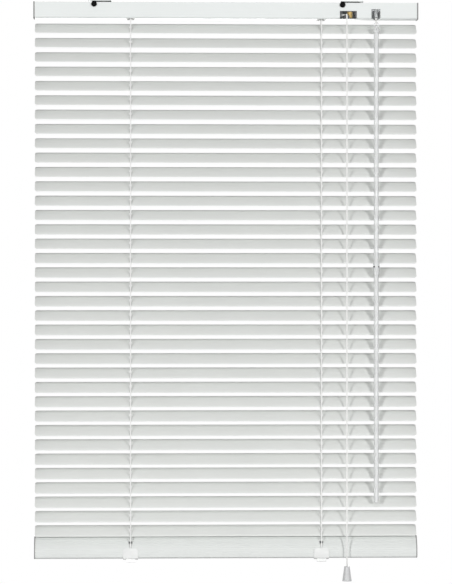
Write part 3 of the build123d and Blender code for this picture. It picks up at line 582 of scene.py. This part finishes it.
string_split, string_straight = -815.0, -790.0
drum_side, drum_top, drum_under = 7.1, -8.2, -26.3
for side_name, side_x in (("left", -ladder_x), ("right", ladder_x)):
    string(
        "ladder_string_" + side_name,
        side_x,
        (string_front, string_split),
        (string_front, string_straight),
        (string_front, -64.0),
        (string_front, -51.0),
        (-drum_side, drum_under),
        (-drum_side, drum_top),
        (drum_side, drum_top),
        (drum_side, drum_under),
        (string_rear, -33.6),
        (string_rear, -46.0),
        (string_rear, string_straight),
        (string_rear, string_split),
    )
    string(
        f"ladder_string_{side_name}_front_end",
        side_x,
        (string_front, string_split),
        (string_front, -825.0),
        (string_front, -841.6),
        bend=((string_front, -822.0), (string_front, -838.0)),
    )
    string(
        f"ladder_string_{side_name}_rear_end",
        side_x,
        (string_rear, string_split),
        (string_rear, -822.5),
        (13.3, -826.6),
        (12.0, -830.0),
        (4.84, -847.6),
        bend=((string_rear, -822.0), (12.4, -828.8)),
    )


# The lift cords are thin braided polyester. They run from a knot in the bottom rail up through
# every slat into the headrail, and along it to the cord lock.
lift_finish = braided("lift_cord_braid", (0.94, 0.94, 0.92), 4, 0.0025)
lift_radius, lift_split, rail_hole_y, lock_y = 0.6, -805.0, -3.6, -7.5
for side_name, side_x, run_z, lock_z in (
    ("left", -ladder_x, -23.5, -20.8),
    ("right", ladder_x, -25.3, -22.2),
):
    lift_route = [
        (side_x, 0.0, lift_split),
        (side_x, 0.0, -790.0),
        (side_x, 0.0, -50.0),
        (side_x, 0.0, run_z),
        (side_x + 12.0, 0.0, run_z),
        (162.0, 0.0, run_z),
        (172.0, lock_y, lock_z),
        (184.0, lock_y, lock_z),
    ]
    lift_end = [
        (side_x, 0.0, lift_split),
        (side_x, 0.0, -818.5),
        (side_x, 0.0, -820.5),
        (side_x, rail_hole_y, -830.2),
        (side_x, rail_hole_y, -838.7),
    ]
    hang("lift_cord_" + side_name, lift_route, lift_radius, 10, lift_finish, "lift_cords")
    end_bend = ((side_x, -2.2, -826.5), (side_x, rail_hole_y, -833.0))
    hang(f"lift_cord_{side_name}_end", lift_end, lift_radius, 10, lift_finish, "lift_cords", end_bend)


# The bottom rail is a hollow aluminium extrusion with a ribbed dome, in the slats' enamel. It
# hangs in the ends of the ladder strings and keeps them straight.
dress(enamel("rail_enamel", (0.75, 0.77, 0.755), 0.4, 0.03, coat=0.05, shine=0.3), "bottom_rail")


# The pull cord is a braided white polyester cord of 2.2 mm. It comes out of the cord lock over
# a rounded lip and hangs straight, held down by its tassel.
pull_x, pull_y, pull_radius = 185.4, -18.5, 1.1
exit_z, tassel_z, knot_z, knot_radius = -21.3, -869.6, -876.95, 2.1
pull_route = [
    (pull_x, -5.05, exit_z),
    (pull_x, -11.4, exit_z),
    (pull_x, -15.6, exit_z),
    (pull_x, pull_y, -24.2),
    (pull_x, pull_y, -28.4),
    (pull_x, pull_y, knot_z),
]
pull_finish = braided("pull_cord_braid", (0.98, 0.98, 0.965), 4, 0.0042)
pull_line = cord_line(pull_route)
pull_points, pull_faces, pull_uvs = tube(pull_line, pull_radius * MM, 14)
pull_cord = mesh_piece(
    "pull_cord_braided", pull_points, pull_faces, pull_finish, "pull_cord", uvs=pull_uvs
)
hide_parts("pull_cord")


# The tassel is a hollow cone of milky plastic, moulded in one piece. The cord comes in through
# its top and is knotted inside.
tassel_finish, w = new_finish("tassel_milky_plastic")
place = w.node("ShaderNodeTexCoord", out="Object")
cloud = w.node("ShaderNodeTexNoise", {}, {"Vector": place, "Scale": 180.0, "Detail": 3.0})
stops = [(0.3, (0.55, 0.555, 0.56, 1)), (0.7, (0.63, 0.635, 0.64, 1))]
tone = w.node("ShaderNodeValToRGB", {"stops": stops}, {"Fac": cloud})
shade(
    w,
    {
        "Base Color": tone,
        "Roughness": cloud * 0.15 + 0.25,
        "Transmission Weight": 0.12,
        "IOR": 1.47,
    },
)
shoulder = np.linspace(0, np.pi / 2, 6)
tassel_profile = np.concatenate(
    [
        [(1.25, -5.0), (1.25, -0.6), (1.5, 0.0)],
        np.c_[3.5 + 0.7 * np.sin(shoulder), -0.7 + 0.7 * np.cos(shoulder)],
        np.c_[np.linspace(4.28, 7.1, 14), np.linspace(-1.3, -21.2, 14)],
        [(7.28, -21.8), (7.3, -22.6), (7.0, -23.0), (6.2, -23.0), (5.9, -22.7)],
        np.c_[np.linspace(5.8, 2.7, 8), np.linspace(-21.0, -5.3, 8)],
        [(2.4, -5.0), (1.25, -5.0)],
    ]
)
tassel_points, tassel_faces = lathe(tassel_profile, 48, (pull_x, pull_y, tassel_z))
tassel = mesh_piece("tassel_cone", tassel_points, tassel_faces, tassel_finish, "pull_cord")
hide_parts("tassel")

swell = np.linspace(-np.pi / 2, np.pi / 2, 15)
knot_ripple = 1 + 0.06 * np.sin(9 * swell)
knot_profile = knot_radius * np.c_[np.abs(np.cos(swell)) * knot_ripple, np.sin(swell)]
knot_points, knot_faces = lathe(knot_profile, 20, (pull_x, pull_y, knot_z))
knot = mesh_piece("pull_cord_knot", knot_points, knot_faces, pull_finish, "pull_cord")
